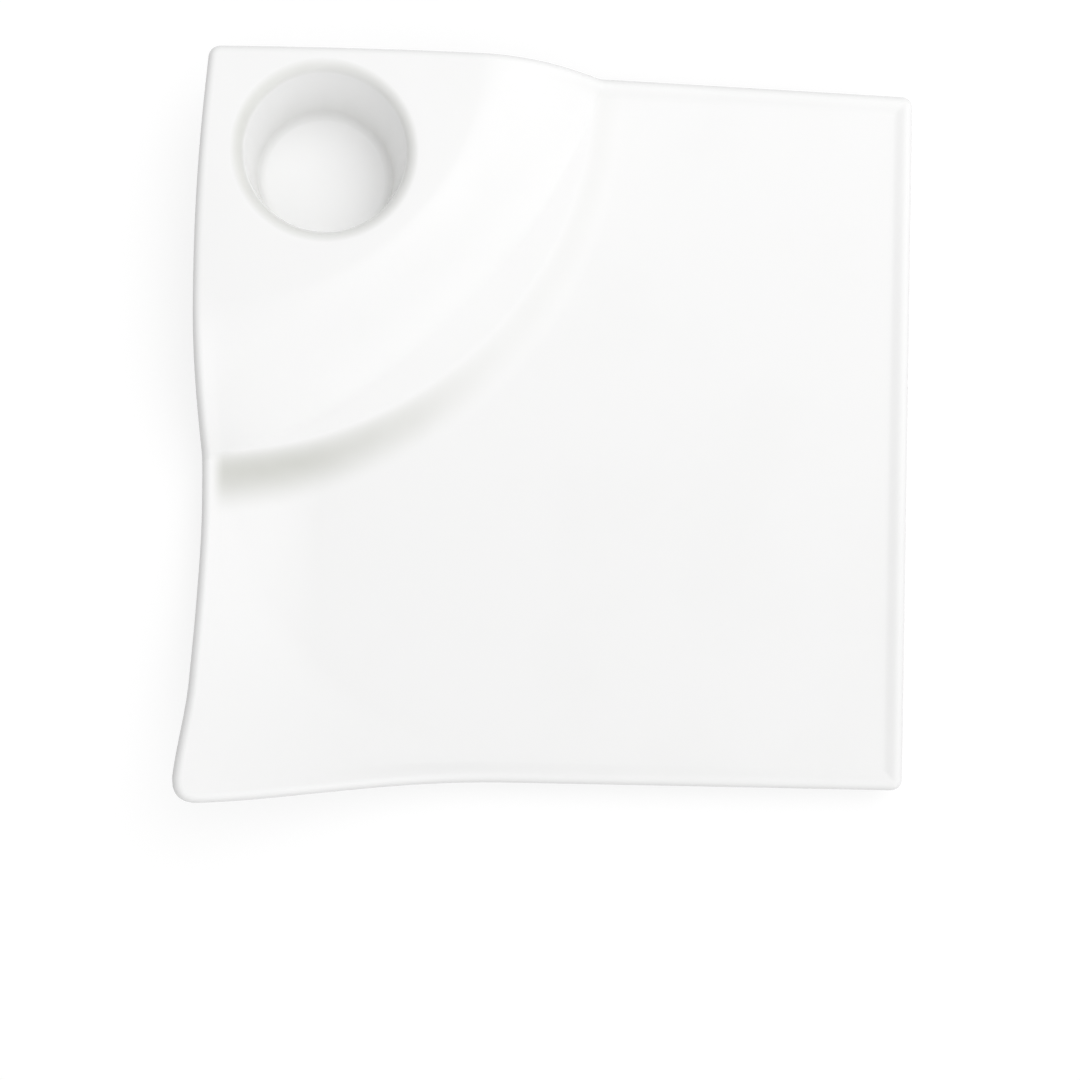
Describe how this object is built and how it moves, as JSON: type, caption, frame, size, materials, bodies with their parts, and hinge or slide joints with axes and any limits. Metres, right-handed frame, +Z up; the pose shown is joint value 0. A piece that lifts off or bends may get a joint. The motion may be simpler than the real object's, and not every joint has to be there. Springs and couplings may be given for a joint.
{
  "type": "square plate",
  "caption": "Square white porcelain serving plate with a raised back corner that holds a round dip well, a curled-up front corner, a flat field with a low rim, and bare foot rings.",
  "frame": {"origin": "middle of the plate's bounding box in plan, on the surface that it stands on", "axes": "+Z up, +Y to the back edge, +X to the right; the raised corner is at -X +Y and the curled corner at -X -Y"},
  "size_m": [0.2546, 0.2567, 0.0462],
  "materials": {
    "glaze": "glossy white transparent glaze over white porcelain",
    "biscuit": "bare fired porcelain, matte, seen on the foot treads"
  },
  "bodies": {
    "root": {"porcelain_body": "biscuit", "glaze_coat": "glaze", "field_foot_glaze": "glaze", "well_foot_glaze": "glaze"}
  },
  "joints": []
}
